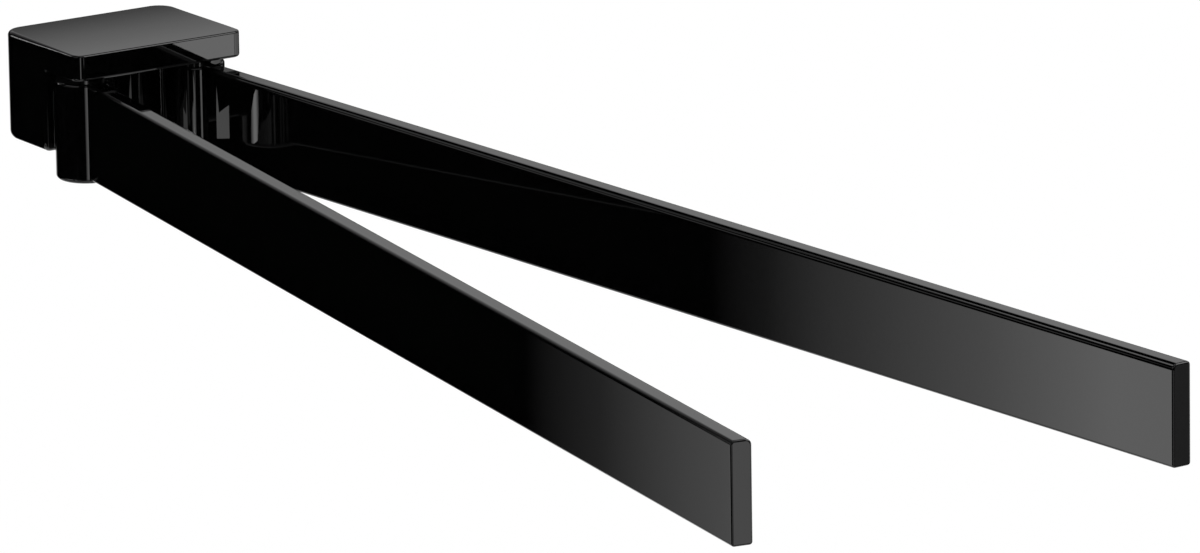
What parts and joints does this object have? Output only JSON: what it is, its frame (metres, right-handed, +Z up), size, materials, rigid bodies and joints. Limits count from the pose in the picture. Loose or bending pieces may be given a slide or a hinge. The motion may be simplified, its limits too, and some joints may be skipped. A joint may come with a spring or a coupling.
{
  "type": "towel holder",
  "caption": "Wall-mounted towel holder: a hooded head with flat gloss black arms that swing sideways on upright pivots.",
  "frame": {"origin": "on the wall plane, at the middle of the head's back", "axes": "+Y into the wall, the arms point to -Y; +X to the right for someone facing the wall; +Z up"},
  "size_m": [0.1286, 0.4315, 0.0355],
  "materials": {
    "head_black": "high gloss black coating on die-cast zinc",
    "knuckle_black": "high gloss black coating on turned brass",
    "bar_black": "high gloss black coating on polished flat bar",
    "cap_black": "gloss black coated disc",
    "bracket_steel": "folded zinc-plated sheet",
    "screw_steel": "turned stainless steel",
    "washer_steel": "stamped stainless steel",
    "bush_plastic": "natural acetal",
    "washer_plastic": "black acetal"
  },
  "bodies": {
    "head": {"housing": "head_black", "wall_bracket": "bracket_steel", "set_screw": "screw_steel", "left_friction_washer": "washer_steel", "left_spring_washer": "washer_steel", "left_pivot_screw": "screw_steel", "right_friction_washer": "washer_steel", "right_spring_washer": "washer_steel", "right_pivot_screw": "screw_steel"},
    "left_arm": {"left_bar": "bar_black", "left_knuckle": "knuckle_black", "left_upper_bush": "bush_plastic", "left_lower_bush": "bush_plastic", "left_thrust_washer": "washer_plastic", "left_bottom_cap": "cap_black"},
    "right_arm": {"right_bar": "bar_black", "right_knuckle": "knuckle_black", "right_upper_bush": "bush_plastic", "right_lower_bush": "bush_plastic", "right_thrust_washer": "washer_plastic", "right_bottom_cap": "cap_black"}
  },
  "joints": [
    {"name": "left_arm_swing", "type": "hinge", "parent": "head", "child": "left_arm", "pos_m": [-0.01625, -0.0286, -0.008], "axis": [0, 0, -1], "range_deg": [-8.4, 81.6]},
    {"name": "right_arm_swing", "type": "hinge", "parent": "head", "child": "right_arm", "pos_m": [0.01625, -0.0286, -0.008], "axis": [0, 0, 1], "range_deg": [-4.5, 85.5]}
  ]
}
